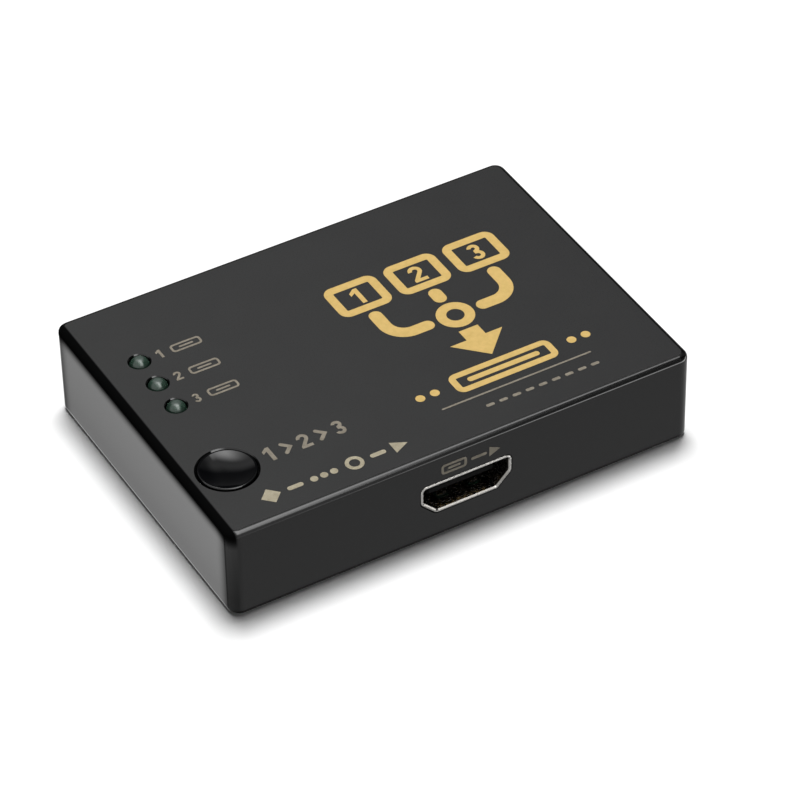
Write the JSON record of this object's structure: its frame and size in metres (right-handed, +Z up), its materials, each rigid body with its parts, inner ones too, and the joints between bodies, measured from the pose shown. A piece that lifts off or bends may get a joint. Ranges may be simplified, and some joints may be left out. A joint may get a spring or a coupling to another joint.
{
  "type": "hdmi switch",
  "caption": "Flat black video switch box with rounded edges: input ports in the rear long side, an output port in the front, a round dished select button and indicator lamps on top.",
  "frame": {"origin": "middle of the underside, on the surface it stands on", "axes": "+X along the long side towards the power inlet, -Y towards the output port, +Z up"},
  "size_m": [0.076, 0.054, 0.0162],
  "materials": {
    "housing_plastic": "black moulded plastic, fine satin top, polished sides",
    "base_plastic": "black moulded plastic, fine spark texture",
    "button_plastic": "black, polished",
    "lamp_resin": "clear green-tinted resin",
    "port_steel": "nickel plated sheet steel",
    "spring_steel": "stainless spring sheet",
    "insulator_plastic": "black glass-filled plastic",
    "contact_gold": "gold flash on copper alloy",
    "screw_steel": "zinc plated",
    "board_laminate": "green solder mask on glass laminate",
    "chip_resin": "black moulding compound",
    "lead_tin": "tin plated",
    "can_metal": "bare drawn metal",
    "ceramic_tan": "fired ceramic"
  },
  "bodies": {
    "box": {"base_plate": "base_plastic", "base_screws": "screw_steel", "ceramic_capacitors": "ceramic_tan", "chip_resistors": "chip_resin", "circuit_board": "board_laminate", "clock_crystal": "can_metal", "control_chip": "chip_resin", "control_chip_leads": "lead_tin", "electrolytic_capacitor_base": "insulator_plastic", "electrolytic_capacitor_can": "can_metal", "housing_top_shell": "housing_plastic", "indicator_lamp_1": "lamp_resin", "indicator_lamp_1_leads": "lead_tin", "indicator_lamp_2": "lamp_resin", "indicator_lamp_2_leads": "lead_tin", "indicator_lamp_3": "lamp_resin", "indicator_lamp_3_leads": "lead_tin", "input_port_1_contacts": "contact_gold", "input_port_1_insulator": "insulator_plastic", "input_port_1_shell": "port_steel", "input_port_2_contacts": "contact_gold", "input_port_2_insulator": "insulator_plastic", "input_port_2_shell": "port_steel", "input_port_3_contacts": "contact_gold", "input_port_3_insulator": "insulator_plastic", "input_port_3_shell": "port_steel", "output_port_contacts": "contact_gold", "output_port_insulator": "insulator_plastic", "output_port_shell": "port_steel", "power_inlet_contacts": "contact_gold", "power_inlet_insulator": "insulator_plastic", "power_inlet_shell": "port_steel", "push_switch_base": "insulator_plastic", "push_switch_cover": "port_steel", "push_switch_dome": "spring_steel", "push_switch_terminals": "lead_tin", "surge_protection_arrays": "chip_resin", "switching_chip": "chip_resin", "switching_chip_leads": "lead_tin", "voltage_regulator": "chip_resin", "voltage_regulator_leads": "lead_tin"},
    "select_button": {"select_button_cap": "button_plastic", "push_switch_plunger": "insulator_plastic"}
  },
  "joints": [
    {"name": "select_press", "type": "slide", "parent": "box", "child": "select_button", "axis": [0, 0, -1], "range_m": [0, 0.0003], "stiffness_N_per_m": 5000, "springref_m": -0.0001, "deforming": ["push_switch_dome"]}
  ]
}
